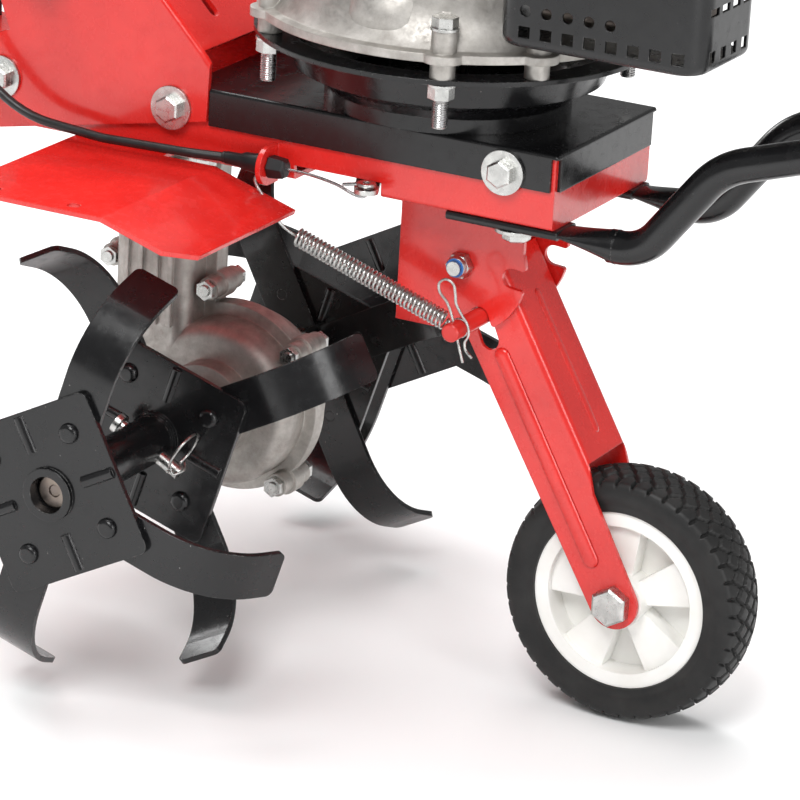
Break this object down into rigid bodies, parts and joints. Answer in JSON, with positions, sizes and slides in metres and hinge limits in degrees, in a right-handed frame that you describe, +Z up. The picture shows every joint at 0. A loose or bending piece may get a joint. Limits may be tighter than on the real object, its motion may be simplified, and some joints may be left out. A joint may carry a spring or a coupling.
{
  "type": "petrol mini tiller",
  "caption": "Petrol mini tiller: upright-shaft engine on a red pressed frame, worm-driven tine rotors, latched swing arm with a transport wheel, bumper loop and folding handlebars.",
  "frame": {"origin": "on the ground under the middle of the machine's bounding box", "axes": "-Y forward towards the transport wheel, +Y rearward to the grips, +X the operator's left, +Z up"},
  "size_m": [0.508, 1.07, 0.9744],
  "materials": {
    "frame_paint": "glossy red enamel",
    "black_paint": "satin black enamel",
    "pin_paint": "red dipped coating",
    "zinc_steel": "galvanised",
    "bare_steel": "machined",
    "cast_alloy": "sand cast",
    "black_plastic": "fine grain",
    "white_nylon": "moulded",
    "tyre_rubber": "moulded",
    "belt_rubber": "matt",
    "grip_rubber": "soft",
    "bronze": "machined",
    "hot_steel": "heat tinted"
  },
  "bodies": {
    "frame": {"engine_tray": "black_paint", "frame_box": "frame_paint", "handle_tower": "frame_paint", "wheel_bracket": "frame_paint", "bumper_bar": "black_paint", "frame_bolts": "zinc_steel", "fender_right": "frame_paint", "fender_left": "frame_paint", "clutch_cable": "black_plastic", "pivot_bolt": "zinc_steel", "pivot_nut": "zinc_steel", "tension_spring": "zinc_steel", "drive_belt": "belt_rubber", "gearcase_right": "cast_alloy", "gearcase_left": "cast_alloy", "gearcase_bolts": "zinc_steel", "tine_bearings": "bare_steel", "engine_dish": "black_paint", "engine_base": "cast_alloy", "engine_bolts": "zinc_steel", "cylinder": "cast_alloy", "muffler_guard": "black_paint", "muffler": "hot_steel", "blower_shroud": "black_plastic", "recoil_cover": "frame_paint", "fuel_tank": "black_plastic", "air_filter": "black_plastic", "handle_lower": "frame_paint", "fold_knobs": "black_plastic"},
    "wheel_arm": {"wheel_arm": "frame_paint", "axle_bolt": "zinc_steel"},
    "front_wheel": {"wheel_rim": "white_nylon", "tyre": "tyre_rubber"},
    "lock_pin": {"lock_pin": "pin_paint", "hairpin_clip": "zinc_steel"},
    "tines": {"tine_shaft": "bare_steel", "blades_outer": "black_paint", "blades_inner": "black_paint", "rotor_plates_outer": "black_paint", "rotor_plates_inner": "black_paint", "rotor_rivets": "black_paint", "clevis_pins": "zinc_steel", "pin_clips": "zinc_steel", "worm_wheel": "bronze"},
    "worm": {"worm_shaft": "bare_steel", "driven_pulley": "cast_alloy"},
    "crank": {"crankshaft": "bare_steel", "engine_pulley": "bare_steel"},
    "tensioner": {"tensioner_arm": "zinc_steel", "cable_wire": "bare_steel"},
    "idler": {"idler_pulley": "bare_steel"},
    "handle": {"handle_upper": "black_paint", "handle_grips": "grip_rubber", "lever_brackets": "black_plastic"},
    "clutch_lever": {"clutch_lever": "black_plastic"},
    "throttle": {"throttle_lever": "black_plastic"},
    "starter_grip": {"starter_handle": "black_plastic"},
    "fuel_cap": {"fuel_cap": "black_plastic"},
    "stake": {"drag_stake": "black_paint"},
    "stake_clamp": {"stake_clamp": "zinc_steel"}
  },
  "joints": [
    {"name": "arm_swing", "type": "hinge", "parent": "frame", "child": "wheel_arm", "pos_m": [0, -0.2685, 0.242], "axis": [-1, 0, 0], "range_deg": [0, 61.6], "deforming": ["tension_spring", "lock_pin", "hairpin_clip"]},
    {"name": "wheel_spin", "type": "hinge", "parent": "wheel_arm", "child": "front_wheel", "pos_m": [0, -0.3685, 0.07], "axis": [1, 0, 0], "continuous": true},
    {"name": "pin_pull", "type": "slide", "parent": "wheel_arm", "child": "lock_pin", "axis": [0, -0.4035, -0.915], "range_m": [0, 0.013], "stiffness_N_per_m": 2500, "springref_m": -0.006, "deforming": ["tension_spring"]},
    {"name": "tine_spin", "type": "hinge", "parent": "frame", "child": "tines", "pos_m": [0, -0.12, 0.1305], "axis": [1, 0, 0], "continuous": true},
    {"name": "worm_spin", "type": "hinge", "parent": "frame", "child": "worm", "pos_m": [0, -0.077, 0.201], "axis": [0, 0, 1], "continuous": true},
    {"name": "crank_spin", "type": "hinge", "parent": "frame", "child": "crank", "pos_m": [0, -0.241, 0.371], "axis": [0, 0, 1], "continuous": true},
    {"name": "clutch_squeeze", "type": "hinge", "parent": "handle", "child": "clutch_lever", "pos_m": [-0.235, 0.41482, 0.89682], "axis": [1, 0, 0], "range_deg": [0, 14], "stiffness_Nm_per_rad": 2, "springref_deg": -20.05},
    {"name": "tensioner_swing", "type": "hinge", "parent": "frame", "child": "tensioner", "pos_m": [0.01, -0.196, 0.2855], "axis": [0, 0, -1], "range_deg": [0, 28], "deforming": ["cable_wire"]},
    {"name": "idler_spin", "type": "hinge", "parent": "tensioner", "child": "idler", "pos_m": [-0.0077, -0.1493, 0.301], "axis": [0, 0, 1], "continuous": true},
    {"name": "handle_fold", "type": "hinge", "parent": "frame", "child": "handle", "pos_m": [0, 0.178, 0.6434], "axis": [1, 0, 0], "range_deg": [0, 110], "deforming": ["clutch_cable"]},
    {"name": "throttle_turn", "type": "hinge", "parent": "handle", "child": "throttle", "pos_m": [0.22, 0.40799, 0.91562], "axis": [-1, 0, 0], "range_deg": [0, 50]},
    {"name": "starter_pull", "type": "slide", "parent": "frame", "child": "starter_grip", "axis": [0, 1, 0], "range_m": [0, 0.2], "stiffness_N_per_m": 60, "springref_m": -0.2},
    {"name": "fuel_cap_turn", "type": "hinge", "parent": "frame", "child": "fuel_cap", "pos_m": [0.139, -0.226, 0.526], "axis": [0, 0, 1], "range_deg": [0, 360]},
    {"name": "stake_slide", "type": "slide", "parent": "frame", "child": "stake", "axis": [0, 0, 1], "range_m": [-0.03, 0.1]},
    {"name": "clamp_turn", "type": "hinge", "parent": "frame", "child": "stake_clamp", "pos_m": [0, 0.089, 0.291], "axis": [0, 1, 0], "range_deg": [-360, 360]}
  ],
  "couplings": [
    {"joint": "worm_spin", "follows": "tine_spin", "ratio": -30},
    {"joint": "tensioner_swing", "follows": "clutch_squeeze", "ratio": 2}
  ]
}
